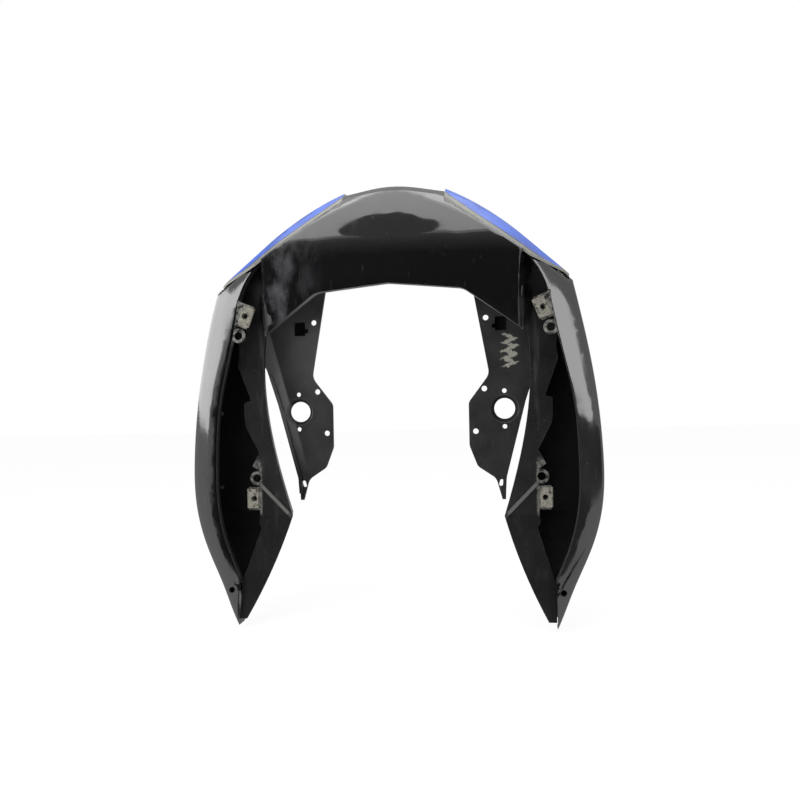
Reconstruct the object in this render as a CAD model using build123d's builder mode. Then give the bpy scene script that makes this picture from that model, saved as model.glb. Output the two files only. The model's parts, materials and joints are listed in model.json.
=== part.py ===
from build123d import *
import os

# Motorcycle front fairing: a nose panel over an open middle, two cheeks, two painted side panels,
# two liners, two lamp arms, clip nuts and screws.
# Frame: +X is the rider's left, -Y is forward, +Z is up. The origin is midway between the two
# lamp bores, on the front face of the lamp arms. Sizes are in millimetres.
os.makedirs("parts", exist_ok=True)

# Moulded walls and the gaps between mouldings
WALL = 3.0
GAP = 0.4
REACH = 400.0  # longer than any piece, for cuts that go right through

# Nose panel: side profile (y, z) turned about an upright axis behind it
NOSE_PROFILE = [(-72, 76), (-84, 128), (-84, 165), (-78, 185), (-64, 210), (-36, 248), (-12, 274)]
NOSE_FRONT_Y = -84.0
NOSE_PLAN_RADIUS = 900.0
NOSE_RIM = 11.0
NOSE_TOP = 290.0  # above the roof, which trims the panel
NOSE_SIDE_TOP = (147, 165)
NOSE_CORNER = (144.5, 85)
NOSE_NOTCH = (80, 130)
NOSE_NOTCH_RADIUS = 18.0
NOSE_SILL = (0, 137.5)
NOSE_BEVEL_TOP = (144.4, 167)
NOSE_BEVEL_FOOT = (139.1, 88)
NOSE_BEVEL_Y = -66.0
NOSE_BEVEL_SLOPE = 0.4

# Roof: the top surface that the nose, the side panels and the cheeks share. It rises steeply from
# the front, folds along a line in plan, and goes back nearly level
ROOF_Y = -46.0
ROOF_LINE = [(0, 241), (79, 222.5), (145, 186)]
ROOF_SHOULDER = (194, 149.5)
ROOF_SAMPLES = [0, 40, 79, 112, 145]
RISE_UP = 0.69
REAR_RISE_UP = 0.12
FOLD_Y = 5.0
FOLD_SLOPE = -0.31
ROOF_WALL = 3.6  # upright, so the sheet is thinner across

# Rim of the nose on the roof, seen in plan: rear edge beside the screen, and the screen's cut-out
SCREEN_HALF_WIDTH = 58.0
SCREEN_FRONT_Y = -27.0
SCREEN_SIDE_Y = -20.0
RIM_REAR = [(SCREEN_HALF_WIDTH, -33), (79, -48.5), (99, -59.5), (124, -66), (150, -67.5)]

# Painted side panels, seen in plan, and their tongues under the nose's rim: x from, x to, front y
PANEL_SHOULDER = (193, -51)
PANEL_REAR_CORNER = (200, 66)
TONGUES = [(62, 70, -46), (78, 86, -55)]
TONGUE_LENGTH = 20.0
TONGUE_THICKNESS = 2.0

# Cheeks: level sections from shoulder to tip
# height, lip x, lip y, crease x, crease y, rear y
CHEEK_STATIONS = [
    (205, 134, -52, 178, -31, 60),
    (157, 154.5, -62, 192, -51, 56),
    (107, 173, -66, 202, -71, 52),
    (57, 184, -67, 212, -73, 48),
    (10, 194, -67, 219, -74, 44),
    (-46, 198, -68, 223.5, -75, 38),
    (-100, 197, -69, 222, -76, 26),
    (-145, 187, -71, 210.5, -77, 8),
    (-190, 168, -75, 190, -81, -18),
    (-232, 146, -79, 172, -83, -46),
]
CHEEK_FLARE = 6.0
CHEEK_BULGE = 3.6
CHEEK_BULGE_AT = 0.45
LIP_ROLL = 10.0
LIP_SPLAY = 1.0
LIP_RADIUS = 5.0
BULGE_RADIUS = 14.0
CREASE_RADIUS = 7.5
SEAM_X = 172.6
SEAM_TOP = -178.0
TIP_HOLE = (179.5, -193)
TIP_HOLE_RADIUS = 3.2
TIP_HOLE_FLOOR_Y = -69.0
TIP_BOSS_RADIUS = 6.0
TIP_BOSS_REAR_Y = -66.0
TIP_BOSS_LENGTH = 14.0

# Liners: front sheet and floor as straight runs, bent forward below the bend
LINER_WALL = 2.6
LINER_FRONT_Y = -44.0
LINER_BEND_Z = -116.0
LINER_TIP_Z = -228.0
LINER_FRONT_TIP_Y = -79.0
FLOOR_TIP_Y = -56.0
FLOOR_WALL = 3.0
LINER_LEAN = 0.25
LINER_EDGE_CLEAR = 9.0
NOSE_TO_LINER = 3.5
FLOOR_FOOT = -212.0
LEDGE_WIDTH = 14.0
LEDGE_SINK = 3.6
LEDGE_SCREW_AT = 0.68  # share of the ledge's width, from the cheek

# Lamp arms: flat plates behind the floors
ARM_WALL = 3.0
LAMP_X = 120.8
LAMP_BORE_RADIUS = 12.0
DISH_RADIUS = 16.8
DISH_DEPTH = 8.0
DISH_WALL = 2.3
BORE_LENGTH = 2.0
EAR_OFFSET = 20.5
EAR_HOLE_RADIUS = 2.6
BRACKET_HOLE_RADIUS = 3.2
BRACKET_HOLES = [(101, 105), (98, 23.4), (87.4, -25.6)]
ARM_INNER_EDGE = [(86, 142), (104, 40), (79.8, 8), (79.8, -42), (89, -66), (110, -80), (116.5, -104)]
ARM_INNER_RADII = [14, 10, 14, 10, 12]
ARM_OUTER_EDGE = [(120.5, -104), (121.5, -80), (145, 9), (160, 53), (174, 60), (176, 134), (150, 146)]
ARM_OUTER_RADII = [40, 60, 6, 6, 8]
ARM_FLANGE_EDGE = [(155, 42), (144.6, 9), (121.9, -78), (120.8, -96)]
ARM_FLANGE_WIDTH = 4.0
ARM_FLANGE_HEIGHT = 5.0
HOOK_SLOT = (118, 98)
HOOK_SLOT_SIZE = (13, 16)
HOOK_NOTCH_SIZE = (7, 5)
HOOK_POCKET_DEPTH = 9.0
HOOK_POCKET_WALL = 2.0
TIP_SLOT = (115.6, -85)
TIP_SLOT_SIZE = (8, 4.2)
TIP_SLOT_ANGLE = 75.0

# Liner edges seen from the front: inner edge, lower edge and wavy outer edge
LINER_APEX = (NOSE_SIDE_TOP[0] + NOSE_TO_LINER, 172)
LINER_KNEE = (NOSE_CORNER[0] + NOSE_TO_LINER, 84)
LINER_INNER_EDGE = [LINER_KNEE, (147.7, 10), (138.8, -44), (119, -117)]
LINER_LOWER_MIDDLE = (141, -169)
LINER_TIP = (172.2, -225)
LINER_WAVE = [
    (172.2, -188), (158.5, -144), (154, -129), (157, -126), (157, -66), (165, -60), (156.5, -45), (172, -15),
    (173, -6), (173, 12), (165, 14), (180, 54), (178, 66), (181, 100),
]

# Clip nuts and the tabs they sit on
TAB_WALL = LINER_WALL
TAB_LENGTH = 14.0
TAB_WIDTH = 26.0
UPPER_TAB = (171, 111.4)
UPPER_TAB_Y = -64.0
UPPER_TAB_LEAN = (-0.928, -0.371)
LOWER_TAB = (156, -97)
RING_RADIUS = 8.0
RING_HOLE_RADIUS = 4.6
UPPER_RING = (172, 87)
LOWER_RING = (160, -74)
CLIP_WIDTH = 22.0
CLIP_SHEET = 1.0
CLIP_LEG = 12.5
CLIP_FIT = 0.2
CLIP_HOLE_RADIUS = 3.2
CLIP_COLLAR_RADIUS = 4.6
CLIP_COLLAR_HEIGHT = 4.5
CLIP_THREAD_RADIUS = 2.5
CLIP_CENTRE = 7.5  # from the tab's root

# Liner ridge, from the ring tab down to the corner
RIDGE = [(154, -80), (122, -113)]
RIDGE_WIDTH = 4.0
RIDGE_HEIGHT = 1.6

# Screws
SCREW_HEAD_RADIUS = 4.2
SCREW_HEAD_HEIGHT = 2.4
SCREW_SHANK_RADIUS = 2.0
SCREW_HOLE_RADIUS = 2.3
SCREW_LENGTH = 9.0
ARM_SCREWS = [(168, 74), (168, 118)]
LINER_SCREW_HEIGHTS = [92, 0, -88]
NOSE_TAB = (98, 132)
NOSE_TAB_DEPTH = 26.0
NOSE_TAB_ROOT = 20.0
NOSE_SCREW_HEIGHTS = [107, 123]
NOSE_SCREW_Y = -28.0


def front_plane(y):
    """Upright plane at depth y, drawn as seen from the front: X to the right, Z up."""
    return Plane.XZ.offset(-y)


def slanted(side, up, depth):
    """Direction and length of a run that goes back by depth while it moves sideways and up."""
    run = Vector(side, 1, up)
    return run, run.length * depth


def polygon(plane, points):
    """Face with straight edges."""
    with BuildSketch(plane) as face:
        with BuildLine():
            Polyline(*points, close=True)
        make_face()
    return face.sketch


# Roof
roof_arc = ThreePointArc(*ROOF_LINE)
roof_slope = (ROOF_SHOULDER[1] - ROOF_LINE[2][1]) / (ROOF_SHOULDER[0] - ROOF_LINE[2][0])
fold_tilt = (RISE_UP - REAR_RISE_UP) * FOLD_SLOPE


def roof_height(x):
    """Height of the steep front part at x, in its drawing plane."""
    if x > ROOF_LINE[2][0]:
        return ROOF_LINE[2][1] + roof_slope * (x - ROOF_LINE[2][0])
    centre = roof_arc.arc_center
    return centre.Y + (roof_arc.radius**2 - (x - centre.X) ** 2) ** 0.5


def rear_height(x):
    """Height of the flatter rear part at x, in its drawing plane, so that both meet on the fold."""
    return roof_height(x) - RISE_UP * ROOF_Y + (RISE_UP - REAR_RISE_UP) * FOLD_Y + fold_tilt * x


def under(plane, height, tilt, drop):
    """Everything under one part of the roof, lowered by drop."""
    far = REACH
    with BuildSketch(plane) as region:
        with BuildLine():
            line = Spline(
                *[(x, height(x) - drop) for x in ROOF_SAMPLES], tangents=[(1, tilt), (1, roof_slope + tilt)]
            )
            Polyline(line @ 1, (far, height(far) - drop), (far, -REACH), (0, -REACH))
            mirror(about=Plane.YZ)
        make_face()
    return region.sketch


def roof(drop):
    """Everything under the roof, lowered by drop."""
    with BuildPart() as below:
        run, length = slanted(0, RISE_UP, REACH)
        extrude(under(front_plane(ROOF_Y), roof_height, 0, drop), amount=length, dir=run, both=True)
        run, length = slanted(0, REAR_RISE_UP, REACH)
        rear = under(front_plane(0), rear_height, fold_tilt, drop)
        extrude(rear, amount=length, dir=run, both=True, mode=Mode.INTERSECT)
    return below.part


def roof_sheet(plan, top, bottom):
    """Sheet that follows the roof between two drops, cut to an outline in plan."""
    with BuildPart() as sheet:
        extrude(plan, amount=REACH)
        add(roof(top), mode=Mode.INTERSECT)
        add(roof(bottom), mode=Mode.SUBTRACT)
    return sheet.part


# Nose panel
nose_axis = Axis((0, NOSE_FRONT_Y + NOSE_PLAN_RADIUS, 0), (0, 0, 1))


def nose_profile(setback, depth):
    """Side profile of the nose, set back by a wall, with the given depth."""
    with BuildSketch(Plane.YZ) as profile:
        with BuildLine():
            front = Spline(*[(y + setback, z) for y, z in NOSE_PROFILE])
            back = Spline(*[(y + setback + depth, z) for y, z in NOSE_PROFILE])
            Line(front @ 0, back @ 0)
            Line(front @ 1, back @ 1)
        make_face()
    return profile.sketch


def nose_outline(inset):
    """Sides and lower edge of the nose seen from the front, drawn in by inset."""
    with BuildSketch(front_plane(-REACH / 2)) as outline:
        with BuildLine():
            Polyline((0, NOSE_TOP), (NOSE_SIDE_TOP[0], NOSE_TOP), NOSE_SIDE_TOP, NOSE_CORNER)
            FilletPolyline(NOSE_CORNER, NOSE_NOTCH, NOSE_SILL, radius=NOSE_NOTCH_RADIUS)
            mirror(about=Plane.YZ)
        make_face()
        if inset:
            offset(amount=-inset, kind=Kind.INTERSECTION)
    return outline.sketch


def ahead_of_rim(shift):
    """Everything in front of the rim's rear edge on one side, in plan, with the edge moved back by shift."""
    with BuildSketch(Plane.XY) as plan:
        with BuildLine():
            edge = Spline(*[(x, y + shift) for x, y in RIM_REAR])
            Polyline(edge @ 1, (RIM_REAR[-1][0], -REACH), (RIM_REAR[0][0], -REACH), edge @ 0)
        make_face()
    return plan.sketch


def behind_rim():
    """Everything behind the rim's rear edge on one side, in plan."""
    with BuildSketch(Plane.XY) as plan:
        with BuildLine():
            edge = Spline(*RIM_REAR)
            Polyline(edge @ 1, (RIM_REAR[-1][0], REACH), (RIM_REAR[0][0], REACH), edge @ 0)
        make_face()
    return plan.sketch


def ahead_of_screen():
    """Everything in front of the screen's cut-out, in plan."""
    near = (-SCREEN_HALF_WIDTH, SCREEN_SIDE_Y)
    far = (SCREEN_HALF_WIDTH, SCREEN_SIDE_Y)
    with BuildSketch(Plane.XY) as plan:
        with BuildLine():
            ThreePointArc(near, (0, SCREEN_FRONT_Y), far)
            Polyline(far, (far[0], -REACH), (near[0], -REACH), near)
        make_face()
    return plan.sketch


def bevel_region(side, inset):
    """Everything outside the line where the nose's front face turns into its side, drawn in by inset."""
    foot = Vector(NOSE_BEVEL_FOOT[0] - inset, NOSE_BEVEL_FOOT[1])
    top = Vector(NOSE_BEVEL_TOP[0] - inset, NOSE_BEVEL_TOP[1])
    low = foot + (foot - top)
    high = top + (top - foot)
    corners = [(low.X, low.Y), (high.X, high.Y), (REACH, high.Y), (REACH, low.Y)]
    return polygon(front_plane(NOSE_BEVEL_Y), [(side * x, z) for x, z in corners])


def liner_edge_x(z):
    """Liner's straight inner edge beside the nose, at its front face."""
    share = (z - LINER_KNEE[1]) / (LINER_APEX[1] - LINER_KNEE[1])
    return LINER_KNEE[0] + share * (LINER_APEX[0] - LINER_KNEE[0])


def nose_tab_face(side):
    """Face of the tab that lies against the liner's inner wall, drawn at the liner's front."""
    low, high = NOSE_TAB
    corners = [
        (liner_edge_x(low) - GAP, low),
        (liner_edge_x(high) - GAP, high),
        (liner_edge_x(high) - GAP - WALL, high),
        (liner_edge_x(low) - GAP - WALL, low),
    ]
    return polygon(front_plane(LINER_FRONT_Y), [(side * x, z) for x, z in corners])


def nose_screw_plane(height, side=1):
    """Seat of a nose screw's head, on the inner face of the tab."""
    x = liner_edge_x(height) - GAP - WALL + LINER_LEAN * (NOSE_SCREW_Y - LINER_FRONT_Y)
    tilt = (LINER_APEX[0] - LINER_KNEE[0]) / (LINER_APEX[1] - LINER_KNEE[1])
    return Plane((side * x, NOSE_SCREW_Y, height), (side * tilt, 0, 1), (-side, LINER_LEAN, tilt))


with BuildPart() as nose_cavity:
    revolve(nose_profile(WALL, NOSE_RIM), axis=nose_axis)
    extrude(nose_outline(WALL), amount=-REACH, mode=Mode.INTERSECT)
    for side in (1, -1):
        run, length = slanted(side * NOSE_BEVEL_SLOPE, 0, REACH)
        extrude(bevel_region(side, WALL), amount=length, dir=run, both=True, mode=Mode.SUBTRACT)

with BuildPart() as nose_rim:
    add(roof_sheet(ahead_of_screen(), 0, ROOF_WALL))
    add(roof_sheet(ahead_of_rim(0), 0, ROOF_WALL))
    mirror(about=Plane.YZ)
    revolve(nose_profile(0, REACH / 4), axis=nose_axis, mode=Mode.INTERSECT)
    extrude(nose_outline(0), amount=-REACH, mode=Mode.INTERSECT)

with BuildPart() as panel_room:
    add(roof_sheet(behind_rim(), 0, ROOF_WALL + GAP))
    mirror(about=Plane.YZ)

with BuildPart() as nose_panel:
    revolve(nose_profile(0, NOSE_RIM), axis=nose_axis)
    extrude(nose_outline(0), amount=-REACH, mode=Mode.INTERSECT)
    add(nose_cavity.part, mode=Mode.SUBTRACT)
    add(roof(ROOF_WALL / 2), mode=Mode.INTERSECT)
    add(panel_room.part, mode=Mode.SUBTRACT)
    add(nose_rim.part)
    for side in (1, -1):
        run, length = slanted(side * NOSE_BEVEL_SLOPE, 0, REACH)
        extrude(bevel_region(side, 0), amount=length, dir=run, both=True, mode=Mode.SUBTRACT)
    for side in (1, -1):
        run, length = slanted(side * LINER_LEAN, 0, NOSE_TAB_DEPTH)
        extrude(nose_tab_face(side), amount=length, dir=run)
        run, length = slanted(side * LINER_LEAN, 0, NOSE_TAB_ROOT)
        extrude(nose_tab_face(side), amount=-length, dir=run)
    for height in NOSE_SCREW_HEIGHTS:
        with BuildSketch(nose_screw_plane(height), nose_screw_plane(height, -1)):
            Circle(SCREW_HOLE_RADIUS)
        extrude(amount=-SCREW_LENGTH, mode=Mode.SUBTRACT)


# Cheeks
def inside(points, wall):
    """Corners of the line that runs one wall to the left of another."""
    corners = [Vector(*point) for point in points]
    runs = [(end - start).normalized() for start, end in zip(corners, corners[1:])]
    lefts = [Vector(-run.Y, run.X) for run in runs]
    pairs = zip(corners, lefts[:1] + lefts, lefts + lefts[-1:])
    return [corner + (before + after) * (wall / (1 + before.dot(after))) for corner, before, after in pairs]


def cheek_section(height, lip_x, lip_y, crease_x, crease_y, rear_y):
    """Level section of a cheek: rolled lip, bulged front, crease and flank, one wall thick."""
    bulge_x = lip_x + CHEEK_BULGE_AT * (crease_x - lip_x)
    bulge_y = lip_y + CHEEK_BULGE_AT * (crease_y - lip_y) - CHEEK_BULGE
    face = [
        (lip_x + LIP_SPLAY, lip_y + LIP_ROLL),
        (lip_x, lip_y),
        (bulge_x, bulge_y),
        (crease_x, crease_y),
        (crease_x + CHEEK_FLARE, rear_y),
    ]
    radii = [LIP_RADIUS, BULGE_RADIUS, CREASE_RADIUS]
    with BuildSketch(Plane.XY.offset(height)) as section:
        with BuildLine():
            outer = FilletPolyline(*face, radius=radii)
            inner = FilletPolyline(*inside(face, WALL), radius=[radius - WALL for radius in radii])
            Line(outer @ 0, inner @ 0)
            Line(outer @ 1, inner @ 1)
        make_face()
    return section.sketch


def outer_x(z):
    """Outer width of the cheek's rear edge at a height."""
    for upper, lower in zip(CHEEK_STATIONS, CHEEK_STATIONS[1:]):
        if upper[0] >= z >= lower[0]:
            share = (z - lower[0]) / (upper[0] - lower[0])
            return lower[3] + share * (upper[3] - lower[3]) + CHEEK_FLARE


def bent_run(near_top, near_tip, far_top, far_tip):
    """Side view between two bent sheets, each upright down to the bend and then slanting to the tip."""
    near = [(near_top, REACH), (near_top, LINER_BEND_Z), (near_tip, LINER_TIP_Z)]
    far = [(far_tip, LINER_TIP_Z), (far_top, LINER_BEND_Z), (far_top, REACH)]
    return polygon(Plane.YZ, near + far)


def ledge_outline():
    """Ledge along the inside of the cheek, seen from the front."""
    heights = [station[0] for station in CHEEK_STATIONS[1:-1]]
    with BuildSketch(front_plane(-REACH / 2)) as outline:
        with BuildLine():
            outer = Spline(*[(outer_x(z) - LEDGE_SINK, z) for z in heights])
            inner = Spline(*[(outer_x(z) - LEDGE_SINK - LEDGE_WIDTH, z) for z in heights])
            Line(outer @ 0, inner @ 0)
            Line(outer @ 1, inner @ 1)
        make_face()
    return outline.sketch


def upper_tab_plane():
    """Middle plane of the upper clip's tab: X from the lip into the opening, Z forward."""
    root = (UPPER_TAB[0], UPPER_TAB_Y, UPPER_TAB[1])
    return Plane(root, (UPPER_TAB_LEAN[0], 0, UPPER_TAB_LEAN[1]), (0, -1, 0))


def liner_screw_plane(height):
    """Seat of a liner screw's head, on the rear face of the ledge."""
    x = outer_x(height) - LEDGE_SINK - LEDGE_WIDTH * LEDGE_SCREW_AT
    return Plane((x, WALL, height), (1, 0, 0), (0, 1, 0))


with BuildPart() as ledge:
    extrude(bent_run(0, FLOOR_TIP_Y, WALL, FLOOR_TIP_Y + WALL), amount=REACH)
    extrude(ledge_outline(), amount=-REACH, mode=Mode.INTERSECT)

with BuildPart() as cheek_left:
    loft([cheek_section(*station) for station in CHEEK_STATIONS])
    add(ledge.part)
    with BuildSketch(upper_tab_plane()):
        with Locations((TAB_LENGTH / 2 - LIP_RADIUS / 2, 0)):
            Rectangle(TAB_LENGTH + LIP_RADIUS, TAB_WIDTH)
    extrude(amount=TAB_WALL / 2, both=True)
    with BuildSketch(front_plane(UPPER_TAB_Y)):
        with Locations(UPPER_RING):
            Circle(RING_RADIUS)
            Circle(RING_HOLE_RADIUS, mode=Mode.SUBTRACT)
    extrude(amount=TAB_WALL / 2, both=True)
    with BuildSketch(upper_tab_plane()):
        with Locations((CLIP_CENTRE, 0)):
            Circle(CLIP_HOLE_RADIUS)
    extrude(amount=TAB_WALL, both=True, mode=Mode.SUBTRACT)
    add(roof(ROOF_WALL + GAP), mode=Mode.INTERSECT)
    seam = [(0, SEAM_TOP), (SEAM_X, SEAM_TOP), (SEAM_X, -REACH), (0, -REACH)]
    extrude(polygon(front_plane(-REACH / 2), seam), amount=-REACH, mode=Mode.SUBTRACT)
    with BuildSketch(front_plane(TIP_BOSS_REAR_Y)):
        with Locations(TIP_HOLE):
            Circle(TIP_BOSS_RADIUS)
    extrude(amount=TIP_BOSS_LENGTH)
    with BuildSketch(front_plane(TIP_HOLE_FLOOR_Y)):
        with Locations(TIP_HOLE):
            Circle(TIP_HOLE_RADIUS)
    extrude(amount=REACH, mode=Mode.SUBTRACT)
    for height in LINER_SCREW_HEIGHTS:
        with BuildSketch(liner_screw_plane(height)):
            Circle(SCREW_HOLE_RADIUS)
        extrude(amount=-SCREW_LENGTH, mode=Mode.SUBTRACT)

with BuildPart() as cheek_right:
    mirror(cheek_left.part, about=Plane.YZ)


# Painted side panels
inner_x = SCREEN_HALF_WIDTH + GAP
panel_front = [(inner_x, NOSE_FRONT_Y), (RIM_REAR[-1][0], NOSE_FRONT_Y), RIM_REAR[-1], PANEL_SHOULDER]
panel_plan = panel_front + [PANEL_REAR_CORNER, (inner_x, PANEL_REAR_CORNER[1])]
tongue_top = ROOF_WALL + GAP
tongue_bottom = tongue_top + TONGUE_THICKNESS


def tongue_plan(start, end, front):
    """Outline of a tongue in plan."""
    rear = front + TONGUE_LENGTH
    return polygon(Plane.XY, [(start, front), (end, front), (end, rear), (start, rear)])


with BuildPart() as side_panel_left:
    add(roof_sheet(polygon(Plane.XY, panel_plan), 0, ROOF_WALL))
    for place in TONGUES:
        add(roof_sheet(tongue_plan(*place), ROOF_WALL / 2, tongue_bottom))
    extrude(ahead_of_rim(GAP), amount=REACH, mode=Mode.SUBTRACT)
    for place in TONGUES:
        add(roof_sheet(tongue_plan(*place), tongue_top, tongue_bottom))

with BuildPart() as side_panel_right:
    mirror(side_panel_left.part, about=Plane.YZ)


# Liners
def liner_inside(inset):
    """Everything outboard of the liner's inner and lower edges, drawn at its front face."""
    corners = (LINER_APEX, LINER_KNEE, LINER_LOWER_MIDDLE, LINER_TIP)
    apex, knee, lower, tip = [(x + inset, z) for x, z in corners]
    with BuildSketch(front_plane(LINER_FRONT_Y)) as region:
        with BuildLine():
            edge = Spline(*[(x + inset, z) for x, z in LINER_INNER_EDGE])
            Line(apex, knee)
            ThreePointArc(edge @ 1, lower, tip)
            Polyline(tip, (REACH, tip[1]), (REACH, apex[1]), apex)
        make_face()
    return region.sketch


def liner_limit():
    """Outer limit of the liner's floor, clear of the cheek's wall, with its top slope."""
    heights = [station[0] for station in CHEEK_STATIONS if FLOOR_FOOT < station[0] < LINER_APEX[1]]
    with BuildSketch(front_plane(-REACH / 2)) as region:
        with BuildLine():
            edge = Spline(*[(outer_x(z) - LINER_EDGE_CLEAR, z) for z in heights + [FLOOR_FOOT]])
            Polyline(edge @ 0, LINER_APEX, (0, LINER_APEX[1]), (0, LINER_TIP_Z))
            Polyline((0, LINER_TIP_Z), (LINER_TIP[0], LINER_TIP_Z), edge @ 1)
        make_face()
    return region.sketch


def beyond_wave():
    """Everything outboard of the wavy edge."""
    foot = LINER_WAVE[0]
    head = LINER_WAVE[-1]
    outside = [(head[0], REACH), (REACH, REACH), (REACH, -REACH), (foot[0], -REACH)]
    return polygon(front_plane(-REACH / 2), LINER_WAVE + outside)


def lower_tab_plane():
    """Middle plane of the lower clip's tab: X outboard, Z forward."""
    return Plane((LOWER_TAB[0], LINER_FRONT_Y + TAB_WALL / 2, LOWER_TAB[1]), (1, 0, 0), (0, -1, 0))


with BuildPart() as wave_cut:
    near = (LINER_FRONT_Y - WALL, LINER_FRONT_TIP_Y - WALL)
    far = [y + LINER_WALL + 2 * WALL for y in near]
    extrude(bent_run(*near, *far), amount=REACH)
    extrude(beyond_wave(), amount=-REACH, mode=Mode.INTERSECT)

with BuildPart() as channel:
    near = (LINER_FRONT_Y + LINER_WALL, LINER_FRONT_TIP_Y + LINER_WALL)
    extrude(bent_run(*near, -FLOOR_WALL, FLOOR_TIP_Y - FLOOR_WALL), amount=REACH)
    run, length = slanted(LINER_LEAN, 0, REACH)
    extrude(liner_inside(LINER_WALL), amount=length, dir=run, both=True, mode=Mode.INTERSECT)

with BuildPart() as liner_left:
    extrude(bent_run(LINER_FRONT_Y, LINER_FRONT_TIP_Y, 0, FLOOR_TIP_Y), amount=REACH)
    run, length = slanted(LINER_LEAN, 0, REACH)
    extrude(liner_inside(0), amount=length, dir=run, both=True, mode=Mode.INTERSECT)
    extrude(liner_limit(), amount=-REACH, mode=Mode.INTERSECT)
    add(channel.part, mode=Mode.SUBTRACT)
    add(wave_cut.part, mode=Mode.SUBTRACT)
    add(roof(ROOF_WALL + GAP), mode=Mode.INTERSECT)
    with BuildSketch(lower_tab_plane()):
        with Locations((TAB_LENGTH / 2 - LIP_RADIUS / 2, 0)):
            Rectangle(TAB_LENGTH + LIP_RADIUS, TAB_WIDTH)
        with Locations((LOWER_RING[0] - LOWER_TAB[0], LOWER_RING[1] - LOWER_TAB[1])):
            Circle(RING_RADIUS)
    extrude(amount=TAB_WALL / 2, both=True)
    with BuildSketch(lower_tab_plane()):
        with Locations((CLIP_CENTRE, 0)):
            Circle(CLIP_HOLE_RADIUS)
        with Locations((LOWER_RING[0] - LOWER_TAB[0], LOWER_RING[1] - LOWER_TAB[1])):
            Circle(RING_HOLE_RADIUS)
    extrude(amount=TAB_WALL, both=True, mode=Mode.SUBTRACT)
    with BuildSketch(front_plane(LINER_FRONT_Y)):
        with BuildLine():
            Line(*RIDGE)
            offset(amount=RIDGE_WIDTH, side=Side.LEFT)
        make_face()
    extrude(amount=RIDGE_HEIGHT)
    for height in LINER_SCREW_HEIGHTS:
        with BuildSketch(liner_screw_plane(height)):
            Circle(SCREW_HOLE_RADIUS)
        extrude(amount=-SCREW_LENGTH, mode=Mode.SUBTRACT)
    for x, z in ARM_SCREWS:
        with BuildSketch(front_plane(0)):
            with Locations((x, z)):
                Circle(SCREW_HOLE_RADIUS)
        extrude(amount=FLOOR_WALL, mode=Mode.SUBTRACT)
    for height in NOSE_SCREW_HEIGHTS:
        with BuildSketch(nose_screw_plane(height)):
            Circle(SCREW_HOLE_RADIUS)
        extrude(amount=-SCREW_LENGTH, mode=Mode.SUBTRACT)

with BuildPart() as liner_right:
    mirror(liner_left.part, about=Plane.YZ)

# Lamp arms
def hook_slot(grow):
    """Slot for a hook with its side notch, seen from the front and grown all round."""
    width, height = HOOK_SLOT_SIZE
    notch_width, notch_height = HOOK_NOTCH_SIZE
    with BuildSketch(front_plane(0)) as slot:
        with Locations(HOOK_SLOT):
            Rectangle(width + 2 * grow, height + 2 * grow)
        with Locations((HOOK_SLOT[0] - width / 2, HOOK_SLOT[1] - notch_height / 2)):
            Rectangle(notch_width + 2 * grow, notch_height + 2 * grow)
    return slot.sketch


def dish_profile(grow, end):
    """Half section of the lamp's dish and bore, grown outwards by a wall, down to its rear end."""
    corners = [
        (0, 0), (DISH_RADIUS + grow, 0), (LAMP_BORE_RADIUS + grow, DISH_DEPTH), (LAMP_BORE_RADIUS + grow, end),
        (0, end),
    ]
    return polygon(Plane.XY, [(LAMP_X + x, y) for x, y in corners])


with BuildPart() as lamp_arm_left:
    with BuildSketch(front_plane(0)):
        with BuildLine():
            inner = FilletPolyline(*ARM_INNER_EDGE, radius=ARM_INNER_RADII)
            outer = FilletPolyline(*ARM_OUTER_EDGE, radius=ARM_OUTER_RADII)
            Line(inner @ 1, outer @ 0)
            Line(outer @ 1, inner @ 0)
        make_face()
    extrude(amount=-ARM_WALL)
    with BuildSketch(front_plane(0)):
        with BuildLine():
            Polyline(*ARM_FLANGE_EDGE)
            offset(amount=ARM_FLANGE_WIDTH, side=Side.RIGHT)
        make_face()
    extrude(amount=ARM_FLANGE_HEIGHT)
    extrude(hook_slot(HOOK_POCKET_WALL), amount=-HOOK_POCKET_DEPTH - HOOK_POCKET_WALL)
    extrude(hook_slot(0), amount=-HOOK_POCKET_DEPTH, mode=Mode.SUBTRACT)
    lamp_axis = Axis((LAMP_X, 0, 0), (0, 1, 0))
    revolve(dish_profile(DISH_WALL, DISH_DEPTH + BORE_LENGTH), axis=lamp_axis)
    revolve(dish_profile(0, DISH_DEPTH + 2 * BORE_LENGTH), axis=lamp_axis, mode=Mode.SUBTRACT)
    with BuildSketch(front_plane(0)):
        for hole in BRACKET_HOLES:
            with Locations(hole):
                Circle(BRACKET_HOLE_RADIUS)
        for ear in (EAR_OFFSET, -EAR_OFFSET):
            with Locations((LAMP_X, ear)):
                Circle(EAR_HOLE_RADIUS)
        for hole in ARM_SCREWS:
            with Locations(hole):
                Circle(SCREW_HOLE_RADIUS)
        with Locations(TIP_SLOT):
            SlotOverall(*TIP_SLOT_SIZE, rotation=TIP_SLOT_ANGLE)
    extrude(amount=-ARM_WALL, mode=Mode.SUBTRACT)

with BuildPart() as lamp_arm_right:
    mirror(lamp_arm_left.part, about=Plane.YZ)


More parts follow.
